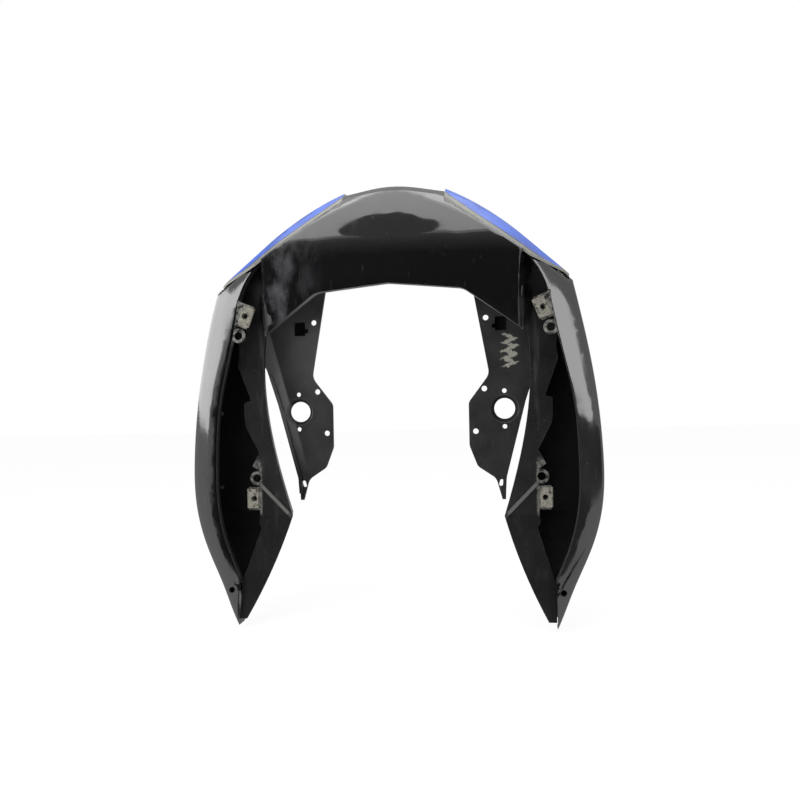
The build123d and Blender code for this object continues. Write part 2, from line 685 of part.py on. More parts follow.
# Clip nuts
def clip_nut(seat):
    """Folded clip nut over a tab whose middle plane is the seat, X along the tab."""
    inner = TAB_WALL / 2 + CLIP_FIT
    fold = TAB_LENGTH + CLIP_SHEET
    section = Plane(seat.origin, seat.x_dir, -seat.y_dir)
    with BuildPart() as clip:
        with BuildSketch(section):
            with BuildLine():
                FilletPolyline(
                    (fold - CLIP_LEG, -inner), (fold, -inner), (fold, inner), (fold - CLIP_LEG, inner),
                    radius=CLIP_SHEET,
                )
                offset(amount=CLIP_SHEET, side=Side.RIGHT)
            make_face()
        extrude(amount=CLIP_WIDTH / 2, both=True)
        with BuildSketch(seat.offset(-inner - CLIP_SHEET)):
            with Locations((CLIP_CENTRE, 0)):
                Circle(CLIP_COLLAR_RADIUS)
        extrude(amount=-CLIP_COLLAR_HEIGHT)
        with BuildSketch(seat):
            with Locations((CLIP_CENTRE, 0)):
                Circle(CLIP_THREAD_RADIUS)
        extrude(amount=-REACH / 10, mode=Mode.SUBTRACT)
        with BuildSketch(seat):
            with Locations((CLIP_CENTRE, 0)):
                Circle(CLIP_HOLE_RADIUS)
        extrude(amount=REACH / 10, mode=Mode.SUBTRACT)
    return clip.part


with BuildPart() as clip_nut_upper_left:
    add(clip_nut(upper_tab_plane()))

with BuildPart() as clip_nut_upper_right:
    mirror(clip_nut_upper_left.part, about=Plane.YZ)

with BuildPart() as clip_nut_lower_left:
    add(clip_nut(lower_tab_plane()))

with BuildPart() as clip_nut_lower_right:
    mirror(clip_nut_lower_left.part, about=Plane.YZ)


# Screws
def screws(seats):
    """One pan-head screw on each seat and its mirror image, Z out of the head."""
    with BuildPart() as group:
        for seat in seats:
            with BuildSketch(seat):
                Circle(SCREW_HEAD_RADIUS)
            extrude(amount=SCREW_HEAD_HEIGHT)
            with BuildSketch(seat):
                Circle(SCREW_SHANK_RADIUS)
            extrude(amount=-SCREW_LENGTH)
        mirror(about=Plane.YZ)
    return group.part


with BuildPart() as arm_screws:
    add(screws([Plane((x, ARM_WALL, z), (1, 0, 0), (0, 1, 0)) for x, z in ARM_SCREWS]))

with BuildPart() as liner_screws:
    add(screws([liner_screw_plane(height) for height in LINER_SCREW_HEIGHTS]))

with BuildPart() as nose_screws:
    add(screws([nose_screw_plane(height) for height in NOSE_SCREW_HEIGHTS]))

pieces = {
    "nose_panel": nose_panel,
    "cheek_left": cheek_left,
    "cheek_right": cheek_right,
    "side_panel_left": side_panel_left,
    "side_panel_right": side_panel_right,
    "liner_left": liner_left,
    "liner_right": liner_right,
    "lamp_arm_left": lamp_arm_left,
    "lamp_arm_right": lamp_arm_right,
    "clip_nut_upper_left": clip_nut_upper_left,
    "clip_nut_upper_right": clip_nut_upper_right,
    "clip_nut_lower_left": clip_nut_lower_left,
    "clip_nut_lower_right": clip_nut_lower_right,
    "arm_screws": arm_screws,
    "liner_screws": liner_screws,
    "nose_screws": nose_screws,
}
for name, piece in pieces.items():
    piece.part.label = name
    export_step(piece.part, f"parts/{name}.step")
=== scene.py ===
# %% [markdown]
# # A motorcycle's front fairing
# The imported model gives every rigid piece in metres: +X is the rider's left, -Y is forward and +Z is up.
# This lesson dresses those pieces. It sets the camera and the studio first, because a gloss black
# moulding is seen mostly by what it reflects, and then makes one finish after another. Two thin flanges
# are the only shapes that it adds.

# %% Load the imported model
import bpy
import bmesh
import json
import math
from mathutils import Matrix, Vector


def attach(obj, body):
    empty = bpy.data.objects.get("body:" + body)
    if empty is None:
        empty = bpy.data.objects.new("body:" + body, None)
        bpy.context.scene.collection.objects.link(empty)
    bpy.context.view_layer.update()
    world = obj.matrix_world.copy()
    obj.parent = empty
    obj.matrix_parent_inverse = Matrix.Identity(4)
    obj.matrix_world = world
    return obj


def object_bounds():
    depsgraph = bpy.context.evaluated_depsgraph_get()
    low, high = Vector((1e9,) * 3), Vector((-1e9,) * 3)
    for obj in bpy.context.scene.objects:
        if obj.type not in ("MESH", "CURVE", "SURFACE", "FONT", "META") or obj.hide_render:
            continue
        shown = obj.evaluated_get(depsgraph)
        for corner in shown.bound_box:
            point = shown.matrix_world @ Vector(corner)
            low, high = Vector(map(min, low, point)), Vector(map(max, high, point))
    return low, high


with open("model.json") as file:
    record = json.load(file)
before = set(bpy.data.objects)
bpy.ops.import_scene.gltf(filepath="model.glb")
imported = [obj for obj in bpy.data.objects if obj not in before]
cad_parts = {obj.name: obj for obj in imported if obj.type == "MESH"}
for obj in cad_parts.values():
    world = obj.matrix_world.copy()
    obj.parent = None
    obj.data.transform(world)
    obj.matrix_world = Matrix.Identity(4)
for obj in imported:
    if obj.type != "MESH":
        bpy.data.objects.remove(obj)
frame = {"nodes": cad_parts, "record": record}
cad_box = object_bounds()
scene = bpy.context.scene
scene.view_settings.view_transform = "Standard"
print("pieces:", sorted(frame["nodes"]))

# %% [markdown]
# ## Camera
# The picture looks at the fairing nearly straight from the front, from about a metre away, a little
# to the rider's left and level with the lamps. A Track To constraint could aim the camera, but this one
# is also turned slightly about its own axis, so its three directions are written into a matrix.

# %% Camera
CAMERA_DISTANCE = 1.0
CAMERA_YAW = math.radians(7.5)
CAMERA_ROLL = math.radians(1.1)
CAMERA_HEIGHT = 0.012
PIXELS_PER_METRE = 1 / 0.001165
IMAGE_SIZE = 800
forward = Vector((-math.sin(CAMERA_YAW), math.cos(CAMERA_YAW), 0))
right = Vector((math.cos(CAMERA_YAW), math.sin(CAMERA_YAW), 0))
up = Vector((0, 0, 1))
rolled_right = right * math.cos(CAMERA_ROLL) - up * math.sin(CAMERA_ROLL)
rolled_up = right * math.sin(CAMERA_ROLL) + up * math.cos(CAMERA_ROLL)
camera_data = bpy.data.cameras.new("camera")
camera_data.lens = camera_data.sensor_width * CAMERA_DISTANCE * PIXELS_PER_METRE / IMAGE_SIZE
camera = bpy.data.objects.new("camera", camera_data)
camera.matrix_world = Matrix((rolled_right, rolled_up, -forward)).transposed().to_4x4()
camera.location = -forward * CAMERA_DISTANCE + up * CAMERA_HEIGHT
scene.collection.objects.link(camera)
scene.camera = camera
print("lens", round(camera_data.lens, 2), "mm")

# %% [markdown]
# ## Floor and world
# The background of the picture is plain white with almost no shadow. The floor and the world are
# therefore white only for the camera and for reflections, which Light Path tells apart, and dimmer as
# a light. The floor keeps a little ordinary diffuse, so the object's shadow still shows on it.

# %% White for the camera, dimmer as a light
WORLD_FILL = 0.62
WORLD_WHITE = 1.0


def seen_directly(tree):
    """1 for camera, glossy and transmission rays, 0 for the light that falls on things."""
    path = tree.nodes.new("ShaderNodeLightPath")
    seen = path.outputs["Is Camera Ray"]
    for kind in ("Is Glossy Ray", "Is Transmission Ray"):
        either = tree.nodes.new("ShaderNodeMath")
        either.operation = "MAXIMUM"
        tree.links.new(seen, either.inputs[0])
        tree.links.new(path.outputs[kind], either.inputs[1])
        seen = either.outputs[0]
    return seen


def switch(tree, unseen, shown, output):
    """Use one shader for light and another for what is seen directly."""
    blend = tree.nodes.new("ShaderNodeMixShader")
    tree.links.new(seen_directly(tree), blend.inputs["Fac"])
    tree.links.new(unseen, blend.inputs[1])
    tree.links.new(shown, blend.inputs[2])
    tree.links.new(blend.outputs[0], output.inputs["Surface"])


world = bpy.data.worlds.new("studio")
scene.world = world
world.use_nodes = True
sky = world.node_tree
sky.nodes.clear()
fill = sky.nodes.new("ShaderNodeBackground")
fill.inputs["Strength"].default_value = WORLD_FILL
white = sky.nodes.new("ShaderNodeBackground")
white.inputs["Color"].default_value = (1, 1, 1, 1)
white.inputs["Strength"].default_value = WORLD_WHITE
switch(sky, fill.outputs[0], white.outputs[0], sky.nodes.new("ShaderNodeOutputWorld"))
print("world shows as", WORLD_WHITE, "and lights as", WORLD_FILL)

# %% Floor
FLOOR_SIZE = 12
FLOOR_DROP = 0.004
FLOOR_GLOW = 0.92
FLOOR_DIFFUSE = 0.12
FLOOR_BOUNCE = 0.8


def flat_card(name, width, height):
    """A plain card lying flat at the origin, as part of the studio."""
    mesh = bpy.data.meshes.new(name)
    shape = bmesh.new()
    bmesh.ops.create_grid(shape, x_segments=1, y_segments=1, size=0.5)
    bmesh.ops.scale(shape, vec=(width, height, 1), verts=shape.verts)
    shape.to_mesh(mesh)
    shape.free()
    card = bpy.data.objects.new(name, mesh)
    scene.collection.objects.link(card)
    return card


def grey_diffuse(tree, level):
    """A plain grey surface."""
    node = tree.nodes.new("ShaderNodeBsdfDiffuse")
    node.inputs["Color"].default_value = (level, level, level, 1)
    return node.outputs[0]


def pale_floor():
    """White as seen, with a weak diffuse part that keeps the shadow."""
    finish = bpy.data.materials.new("floor")
    finish.use_nodes = True
    tree = finish.node_tree
    tree.nodes.clear()
    glow = tree.nodes.new("ShaderNodeEmission")
    glow.inputs["Strength"].default_value = FLOOR_GLOW
    both = tree.nodes.new("ShaderNodeAddShader")
    tree.links.new(grey_diffuse(tree, FLOOR_DIFFUSE), both.inputs[0])
    tree.links.new(glow.outputs[0], both.inputs[1])
    output = tree.nodes.new("ShaderNodeOutputMaterial")
    switch(tree, grey_diffuse(tree, FLOOR_BOUNCE), both.outputs[0], output)
    return finish


floor = flat_card("floor", FLOOR_SIZE, FLOOR_SIZE)
floor.location.z = cad_box[0][2] - FLOOR_DROP
floor.data.materials.append(pale_floor())
print("floor at", round(floor.location.z, 4))

# %% [markdown]
# ## Reflections
# Black lacquer mirrors the room. In the picture it mirrors a dark room in front, a bright window on
# each side and a pale ceiling overhead. Cards that only reflections see stand for these, so that they
# can be bright without lighting the rest. In the cards' names, left and right are the picture's.

# %% A card for the reflections


def reflection_card(name, place, target, size, brightness):
    """A glowing or dark card, turned to a target, that shows only in reflections."""
    card = flat_card(name, *size)
    card.location = place
    aim = Vector(target) - Vector(place)
    card.rotation_euler = aim.to_track_quat("-Z", "Y").to_euler()
    card.visible_camera = False
    card.visible_diffuse = False
    card.visible_shadow = False
    card.visible_transmission = False
    finish = bpy.data.materials.new(name)
    finish.use_nodes = True
    tree = finish.node_tree
    tree.nodes.clear()
    glow = tree.nodes.new("ShaderNodeEmission")
    glow.inputs["Strength"].default_value = brightness
    output = tree.nodes.new("ShaderNodeOutputMaterial")
    tree.links.new(glow.outputs[0], output.inputs["Surface"])
    card.data.materials.append(finish)
    print("card", name, "at", place)
    return card


# %% [markdown]
# ## Ceiling and windows
# The ceiling gives the crest its grey sheen, and a round shade under it ends that sheen in a curve on
# the nose. The window on the left is wide, and it is rolled a little, so that its reflection slants
# along the cheek as in the picture.

# %% Ceiling and windows
SHADE_RADIUS = 0.28
SHADE_SEGMENTS = 48
WINDOW_ROLL = math.radians(-9)


def rounded(card, radius):
    """Cut a card to a disc."""
    shape = bmesh.new()
    bmesh.ops.create_circle(shape, cap_ends=True, radius=radius, segments=SHADE_SEGMENTS)
    shape.to_mesh(card.data)
    shape.free()


reflection_card("ceiling", (0, 0.2, 1.6), (0, 0.2, 0), (2.4, 1.8), 2.5)
ceiling_shade = reflection_card("ceiling_shade", (-0.2, -0.56, 1.58), (-0.2, -0.56, 0), (1, 1), 0.26)
rounded(ceiling_shade, SHADE_RADIUS)
reflection_card("window_right", (1.1, -0.98, 0.15), (0.2, -0.07, 0.15), (0.44, 0.4), 4.6)
window_left = reflection_card("window_left", (-1.4, 0.035, 0.28), (-0.2, 0.035, 0.28), (1.73, 0.45), 5.8)
window_left.rotation_euler.rotate_axis("Z", WINDOW_ROLL)

# %% [markdown]
# ## Dark room
# Dark cards stand in front, behind, on the floor and under the window on the right, where a sill keeps
# the low end of the cheek black. The card in front grows paler towards its top, as a wall does under a
# bright ceiling, which gives the nose its soft change from black to grey.

# %% Dark cards
FADE_START = 0.2
FADE_END = 1.1
FADE_BRIGHTNESS = 0.32


def fade_upwards(card):
    """Let a dark card grow paler towards its top."""
    tree = card.data.materials[0].node_tree
    place = tree.nodes.new("ShaderNodeTexCoord").outputs["Object"]
    split = tree.nodes.new("ShaderNodeSeparateXYZ")
    tree.links.new(place, split.inputs[0])
    rise = tree.nodes.new("ShaderNodeMapRange")
    rise.inputs["From Min"].default_value = FADE_START
    rise.inputs["From Max"].default_value = FADE_END
    rise.inputs["To Max"].default_value = FADE_BRIGHTNESS
    tree.links.new(split.outputs["Y"], rise.inputs["Value"])
    tree.links.new(rise.outputs["Result"], tree.nodes["Emission"].inputs["Strength"])


reflection_card("dark_sill", (1.25, -0.85, -0.14), (0.2, -0.07, -0.1), (1.0, 0.18), 0.15)
reflection_card("dark_behind", (-0.9, 1.4, 0.3), (-0.2, 0, 0.1), (0.9, 1.6), 0.3)
dark_front = reflection_card("dark_front", (-0.325, -0.8, 0.5), (-0.325, 0, 0.5), (1.95, 2.2), 0.0)
fade_upwards(dark_front)
reflection_card("dark_floor", (0, -0.94, -0.235), (0, -0.94, -1), (1.3, 1.12), 0.02)

# %% [markdown]
# ## Lamps
# Soft lamps that reflections do not see light the object at a plain level. The low one reaches the
# lamp arm on one side, which is the paler of the two in the picture.

# %% Lamps


def soft_box(name, place, target, size, watts):
    """A rectangular lamp aimed at a point, not seen in reflections."""
    data = bpy.data.lights.new(name, "AREA")
    data.shape = "RECTANGLE"
    data.size, data.size_y = size
    data.energy = watts
    lamp = bpy.data.objects.new(name, data)
    lamp.location = place
    aim = Vector(target) - Vector(place)
    lamp.rotation_euler = aim.to_track_quat("-Z", "Y").to_euler()
    lamp.visible_glossy = False
    scene.collection.objects.link(lamp)
    print("lamp", name, watts, "W")


soft_box("top_lamp", (0, -0.4, 1.7), (0, 0, 0.1), (1.8, 1.2), 16)
soft_box("front_lamp", (-0.6, -1.5, 0.5), (-0.05, 0, 0.05), (1.0, 0.8), 12)
soft_box("low_lamp", (-0.7, -1.0, -0.05), (-0.13, 0, 0.07), (0.5, 0.3), 4.5)

# %% [markdown]
# ## Finishes
# Small helpers keep the node trees readable. Every pattern reads Object coordinates, which are the
# same metres as the model's, so a pattern's scale can be thought of in real sizes: a scale of 1000
# gives features of about a millimetre. A pattern that runs from 0 to 1 can then be a roughness, a
# height or the share of a colour.

# %% A new finish and its patterns


def new_finish(name):
    """A material with its shader, and the Object coordinates that every pattern reads."""
    finish = bpy.data.materials.new(name)
    finish.use_nodes = True
    tree = finish.node_tree
    surface = tree.nodes["Principled BSDF"]
    place = tree.nodes.new("ShaderNodeTexCoord").outputs["Object"]
    return finish, tree, surface, place


def stretched(tree, place, stretch, turn=(0, 0, 0)):
    """Draw a pattern's space out along an axis, and turn it."""
    mapping = tree.nodes.new("ShaderNodeMapping")
    mapping.inputs["Scale"].default_value = stretch
    mapping.inputs["Rotation"].default_value = turn
    tree.links.new(place, mapping.inputs["Vector"])
    return mapping.outputs[0]


def noise(tree, place, scale, detail=4.0, roughness=0.5):
    """Cloudy pattern."""
    node = tree.nodes.new("ShaderNodeTexNoise")
    node.inputs["Scale"].default_value = scale
    node.inputs["Detail"].default_value = detail
    node.inputs["Roughness"].default_value = roughness
    tree.links.new(place, node.inputs["Vector"])
    return node.outputs["Fac"]


def ramp(tree, value, low, high, out_low=0.0, out_high=1.0):
    """Remap a pattern from one range to another, without going past the ends."""
    node = tree.nodes.new("ShaderNodeMapRange")
    node.inputs["From Min"].default_value = low
    node.inputs["From Max"].default_value = high
    node.inputs["To Min"].default_value = out_low
    node.inputs["To Max"].default_value = out_high
    tree.links.new(value, node.inputs["Value"])
    return node.outputs["Result"]


# %% Sums and blends


def calc(tree, operation, first, *others):
    """Arithmetic on patterns and numbers, with one step for each value after the first."""
    for second in others or (None,):
        node = tree.nodes.new("ShaderNodeMath")
        node.operation = operation
        for socket, value in ((node.inputs[0], first), (node.inputs[1], second)):
            if value is None:
                continue
            if isinstance(value, (int, float)):
                socket.default_value = value
            else:
                tree.links.new(value, socket)
        first = node.outputs[0]
    return first


def mix_colour(tree, amount, first, second):
    """Blend two colours, or a pattern's output, by an amount."""
    node = tree.nodes.new("ShaderNodeMix")
    node.data_type = "RGBA"
    tree.links.new(amount, node.inputs["Factor"])
    for socket, colour in ((node.inputs[6], first), (node.inputs[7], second)):
        if isinstance(colour, tuple):
            socket.default_value = (*colour, 1)
        else:
            tree.links.new(colour, socket)
    return node.outputs[2]


# %% Places and directions


def axes(tree, vector):
    """The three parts of a place or a direction."""
    node = tree.nodes.new("ShaderNodeSeparateXYZ")
    tree.links.new(vector, node.inputs[0])
    return node.outputs


def facing(tree):
    """The direction that the surface faces."""
    return tree.nodes.new("ShaderNodeNewGeometry").outputs["Normal"]


def looking(tree, axis, start, full):
    """From 0 to 1 as the surface turns along an axis."""
    return ramp(tree, axes(tree, facing(tree))[axis], start, full)


# %% Specks and relief
DUST = (0.2, 0.195, 0.185)
SPECK_CORE = 0.6
SPECK_CHOICE = 0.02


def specks(tree, place, scale, size, share):
    """Small dots, one in some of the cells of a grid without order."""
    node = tree.nodes.new("ShaderNodeTexVoronoi")
    node.inputs["Scale"].default_value = scale
    tree.links.new(place, node.inputs["Vector"])
    dot = ramp(tree, node.outputs["Distance"], size, size * SPECK_CORE)
    chosen = ramp(tree, axes(tree, node.outputs["Color"])[0], 1 - share, 1 - share + SPECK_CHOICE)
    return calc(tree, "MULTIPLY", dot, chosen)


def bump(tree, surface, height, distance, normal=None):
    """Small relief on the surface."""
    node = tree.nodes.new("ShaderNodeBump")
    node.inputs["Distance"].default_value = distance
    tree.links.new(height, node.inputs["Height"])
    if normal is not None:
        tree.links.new(normal, node.inputs["Normal"])
    tree.links.new(node.outputs[0], surface.inputs["Normal"])


# %% [markdown]
# ## Gloss black lacquer
# The nose and the cheeks are moulded plastic under black lacquer that has lost some of its polish.
# Near-black with low roughness gives the depth, and the story is in the small things: wiped smears
# that blur the reflections, dust and fine scratches. The unpainted inside of the same mouldings is
# dull, so the direction that a face looks in, with its place, tells the inside from the outside.

# %% What both lacquers share
LACQUER_BLACK = (0.0055, 0.0055, 0.006)
INSIDE_BLACK = (0.004, 0.004, 0.0042)
SCRATCH_SHARE = 0.12
DUST_ROUGHNESS = 0.7
INSIDE_ROUGHNESS = 0.6
LACQUER_SPECULAR = 0.9
WAVE_SCALE = 26


def worn_polish(tree, place):
    """The roughness of smears and wipes, the dust, and the dust with the scratches."""
    smear = ramp(tree, noise(tree, place, scale=11, detail=5), 0.42, 0.75, 0.04, 0.13)
    wipe_space = stretched(tree, place, stretch=(1, 1, 0.25), turn=(0, 0.5, 0))
    wipe = ramp(tree, noise(tree, wipe_space, scale=60, detail=3), 0.55, 0.8, 0, 0.06)
    scratch_space = stretched(tree, place, stretch=(1, 1, 0.03), turn=(0, 0.7, 0.3))
    scratch = ramp(tree, noise(tree, scratch_space, scale=700, detail=2), 0.68, 0.74)
    dust = specks(tree, place, scale=120, size=0.055, share=0.35)
    marks = calc(tree, "MAXIMUM", dust, calc(tree, "MULTIPLY", scratch, SCRATCH_SHARE))
    return calc(tree, "ADD", smear, wipe), dust, marks


def looks_back(tree):
    """1 on the faces that look to the rear, which have no lacquer."""
    return looking(tree, "Y", 0.02, 0.15)


def set_lacquer(tree, surface, colour, rough, dust, inside):
    """Give the shader its colour and roughness; dust and bare plastic are rougher than lacquer."""
    rough_dust = calc(tree, "MULTIPLY", dust, DUST_ROUGHNESS)
    rough_inside = calc(tree, "MULTIPLY", inside, INSIDE_ROUGHNESS)
    rough = calc(tree, "MAXIMUM", rough, rough_dust, rough_inside)
    tree.links.new(colour, surface.inputs["Base Color"])
    tree.links.new(rough, surface.inputs["Roughness"])
    surface.inputs["Specular IOR Level"].default_value = LACQUER_SPECULAR


# %% [markdown]
# ## Lacquer on the nose
# One end of the nose's front has gone hazy in streaks. The lacquer stops on the underside of the sill,
# at the two lower corners and at a line behind the crest, and there the plastic is dull. That line is
# bowed in plan as the crest is, so it is measured from a parabola.

# %% Where the nose is hazy or bare
HAZE_END = (-0.07, -0.125)
HAZE_DEPTH = (-0.0605, -0.063)
CREST_BAND = (-0.0375, -0.036)
CREST_BOW = 2.1
CORNER_REACH = (0.1365, 0.1385)
CORNER_TOP = (0.126, 0.116)


def nose_haze(tree, place):
    """Streaks of haze on one end of the nose's front."""
    x, y = axes(tree, place)[:2]
    streak_space = stretched(tree, place, stretch=(1, 1, 0.5), turn=(0, -0.3, 0))
    streaks = ramp(tree, noise(tree, streak_space, scale=32, detail=5, roughness=0.6), 0.46, 0.7)
    at_end = ramp(tree, x, *HAZE_END)
    on_front = calc(tree, "MULTIPLY", looking(tree, "Y", -0.2, -0.7), ramp(tree, y, *HAZE_DEPTH))
    return calc(tree, "MULTIPLY", streaks, at_end, on_front)


def nose_bare(tree, place):
    """1 on the sill's underside, on the lower corners and behind the crest."""
    x, y, z = axes(tree, place)
    underside = looking(tree, "Z", -0.35, -0.6)
    outermost = ramp(tree, calc(tree, "ABSOLUTE", x), *CORNER_REACH)
    corner = calc(tree, "MULTIPLY", outermost, ramp(tree, z, *CORNER_TOP))
    bowed = calc(tree, "MULTIPLY", x, x, CREST_BOW)
    behind_crest = ramp(tree, calc(tree, "SUBTRACT", y, bowed), *CREST_BAND)
    return calc(tree, "MAXIMUM", underside, corner, behind_crest)


# %% Nose lacquer
HAZE = (0.075, 0.076, 0.08)
HAZE_ROUGHNESS = 0.25
NOSE_WAVE = 0.0009
nose_lacquer, tree, surface, place = new_finish("nose_lacquer")
rough, dust, marks = worn_polish(tree, place)
haze = nose_haze(tree, place)
inside = calc(tree, "MAXIMUM", looks_back(tree), nose_bare(tree, place))
colour = mix_colour(tree, haze, LACQUER_BLACK, HAZE)
colour = mix_colour(tree, marks, colour, DUST)
colour = mix_colour(tree, inside, colour, INSIDE_BLACK)
rough = calc(tree, "ADD", rough, calc(tree, "MULTIPLY", haze, HAZE_ROUGHNESS))
set_lacquer(tree, surface, colour, rough, dust, inside)
wave = noise(tree, place, scale=WAVE_SCALE, detail=1)
bump(tree, surface, wave, NOSE_WAVE)
print(nose_lacquer.name, len(tree.nodes), "nodes")

# %% [markdown]
# ## Lacquer on the cheeks
# A cheek is lacquered outside its rolled inner lip, and the tabs behind the lip are bare and dirty.
# Seen from the front the lip's line comes inward with the square of the height above its widest point,
# and in step with the height below it, so a sum of those terms tells how far a place lies beyond it.

# %% Where the cheeks are bare
LIP_REACH = 0.1965
LIP_HEIGHT = -0.06
LIP_BEND = 0.93
LIP_BLUR = 0.001
TAB_FOOT = (0.074, 0.076)
TAB_TOP = (0.127, 0.125)
TAB_FACE = (-0.0661, -0.0657)
TAB_ROOT = (0.011, 0.009)


def tab_height(tree, place):
    """1 at the height of the cheeks' upper tabs."""
    z = axes(tree, place)["Z"]
    return calc(tree, "MULTIPLY", ramp(tree, z, *TAB_FOOT), ramp(tree, z, *TAB_TOP))


def outer_panel(tree, place):
    """1 outside the rolled lip of a cheek, 0 inside it and on the tabs behind it."""
    x, y, z = axes(tree, place)
    above = calc(tree, "MAXIMUM", calc(tree, "SUBTRACT", z, LIP_HEIGHT), 0.0)
    below = calc(tree, "MAXIMUM", calc(tree, "SUBTRACT", LIP_HEIGHT, z), 0.0)
    fall = calc(tree, "MULTIPLY", above, above, LIP_BEND)
    beyond = calc(tree, "ADD", calc(tree, "ABSOLUTE", x), fall, below)
    past_lip = ramp(tree, beyond, LIP_REACH - LIP_BLUR, LIP_REACH + LIP_BLUR)
    by_lip = ramp(tree, beyond, LIP_REACH + TAB_ROOT[0], LIP_REACH + TAB_ROOT[1])
    at_tabs = calc(tree, "MULTIPLY", tab_height(tree, place), ramp(tree, y, *TAB_FACE), by_lip)
    return calc(tree, "MULTIPLY", past_lip, ramp(tree, at_tabs, 1.0, 0.0))


def lip_inside(tree, place):
    """1 on the side of the rolled lip that looks to the middle."""
    side = calc(tree, "SIGN", axes(tree, place)["X"])
    outward = calc(tree, "MULTIPLY", side, axes(tree, facing(tree))["X"])
    return calc(tree, "MULTIPLY", ramp(tree, outward, -0.35, -0.6), looking(tree, "Y", -0.75, -0.5))


# %% [markdown]
# ## Reflections on the cheeks
# The front faces of the cheeks look further outward on the real fairing than on the solids, so they
# mirror the windows beside it. A mesh from the model is never changed, so the shading normal alone is
# leaned outward, and only on the lacquered front.

# %% Leaned normal of the cheeks
CHEEK_FACE = math.radians(33)
CHEEK_LEAN = 0.75


def cheek_normal(tree, place):
    """The cheeks' front faces, leaned outward so that they mirror what stands beside them."""
    side = calc(tree, "SIGN", axes(tree, place)["X"])
    front = calc(tree, "MULTIPLY", looking(tree, "Y", -0.25, -0.6), outer_panel(tree, place))
    outward = tree.nodes.new("ShaderNodeCombineXYZ")
    tree.links.new(calc(tree, "MULTIPLY", side, math.sin(CHEEK_FACE)), outward.inputs["X"])
    outward.inputs["Y"].default_value = -math.cos(CHEEK_FACE)
    lean = tree.nodes.new("ShaderNodeMix")
    lean.data_type = "VECTOR"
    tree.links.new(calc(tree, "MULTIPLY", front, CHEEK_LEAN), lean.inputs["Factor"])
    tree.links.new(facing(tree), lean.inputs[4])
    tree.links.new(outward.outputs[0], lean.inputs[5])
    unit = tree.nodes.new("ShaderNodeVectorMath")
    unit.operation = "NORMALIZE"
    tree.links.new(lean.outputs[1], unit.inputs[0])
    return unit.outputs[0]


# %% Cheek lacquer
TAB_DIRT = (0.16, 0.157, 0.138)
CHEEK_WAVE = 0.00025
cheek_lacquer, tree, surface, place = new_finish("cheek_lacquer")
rough, dust, marks = worn_polish(tree, place)
on_tabs = ramp(tree, outer_panel(tree, place), 1.0, 0.0)
inside = calc(tree, "MAXIMUM", looks_back(tree), lip_inside(tree, place), on_tabs)
colour = mix_colour(tree, marks, LACQUER_BLACK, DUST)
colour = mix_colour(tree, inside, colour, INSIDE_BLACK)
grime = ramp(tree, noise(tree, place, scale=240, detail=4, roughness=0.6), 0.38, 0.6)
dirty_tabs = calc(tree, "MULTIPLY", tab_height(tree, place), on_tabs, grime)
colour = mix_colour(tree, dirty_tabs, colour, TAB_DIRT)
set_lacquer(tree, surface, colour, rough, dust, inside)
wave = noise(tree, place, scale=WAVE_SCALE, detail=1)
bump(tree, surface, wave, CHEEK_WAVE, cheek_normal(tree, place))
print(cheek_lacquer.name, len(tree.nodes), "nodes")

# %% [markdown]
# ## Edge lines
# Every edge of the black mouldings shows a thin grey line, a painted highlight where the edge catches
# the light. Pointiness could find the edges in the material, but it is uneven on long triangles. So the
# line
# is real geometry: a narrow bevel along the sharp edges, with a material of its own, lighter and rougher
# and broken up by noise.

# %% Edge finishes


def pale_edge_line(name, colour, paler):
    """A paler line along an edge, in patches: painted highlight on the black mouldings, primer on the blue
    panels.
    """
    finish, tree, surface, place = new_finish(name)
    patches = ramp(tree, noise(tree, place, scale=90, detail=4), 0.4, 0.62)
    tree.links.new(mix_colour(tree, patches, colour, paler), surface.inputs["Base Color"])
    tree.links.new(ramp(tree, patches, 0, 1, 0.25, 0.5), surface.inputs["Roughness"])
    print(name, len(tree.nodes), "nodes")
    return finish


# painted highlight along the edges of the lacquer and the matt plastic; primer on the blue panels' edges
lacquer_edge = pale_edge_line("lacquer_edge", (0.03, 0.03, 0.03), (0.17, 0.17, 0.165))
plastic_edge = pale_edge_line("plastic_edge", (0.025, 0.025, 0.025), (0.1, 0.1, 0.096))
primer_edge = pale_edge_line("primer_edge", (0.1, 0.1, 0.1), (0.3, 0.3, 0.27))

# %% [markdown]
# ## Blue paint
# The side panels behind the crest are royal blue under clear lacquer. Only their upper faces were
# sprayed. The cut edges, the undersides and the narrow front margin, which the windscreen's edge covers,
# show the pale grey-beige of the primer, and a painted shadow line lies where the paint begins. The margin
# could be faces of its own, but the model's mesh stays as it is. So it is measured back from the rim of
# the nose, whose curve in plan a power of the distance follows closely.

# %% Distance behind the side panels' margin
RIM_END = (0.15, -0.0675)
RIM_CURVE = 10.6
RIM_POWER = 2.4
MARGIN_WIDE = (0.058, 0.0115)
MARGIN_NARROW = (0.15, 0.005)


def behind_margin(tree, place):
    """How far a place lies behind the bare margin, in metres."""
    x, y = axes(tree, place)[:2]
    reach = calc(tree, "ABSOLUTE", x)
    from_end = calc(tree, "MAXIMUM", calc(tree, "SUBTRACT", RIM_END[0], reach), 0.0)
    rim_y = calc(tree, "MULTIPLY", calc(tree, "POWER", from_end, RIM_POWER), RIM_CURVE)
    (wide_x, widest), (narrow_x, narrowest) = MARGIN_WIDE, MARGIN_NARROW
    margin = ramp(tree, reach, wide_x, narrow_x, widest, narrowest)
    return calc(tree, "SUBTRACT", y, RIM_END[1], rim_y, margin)


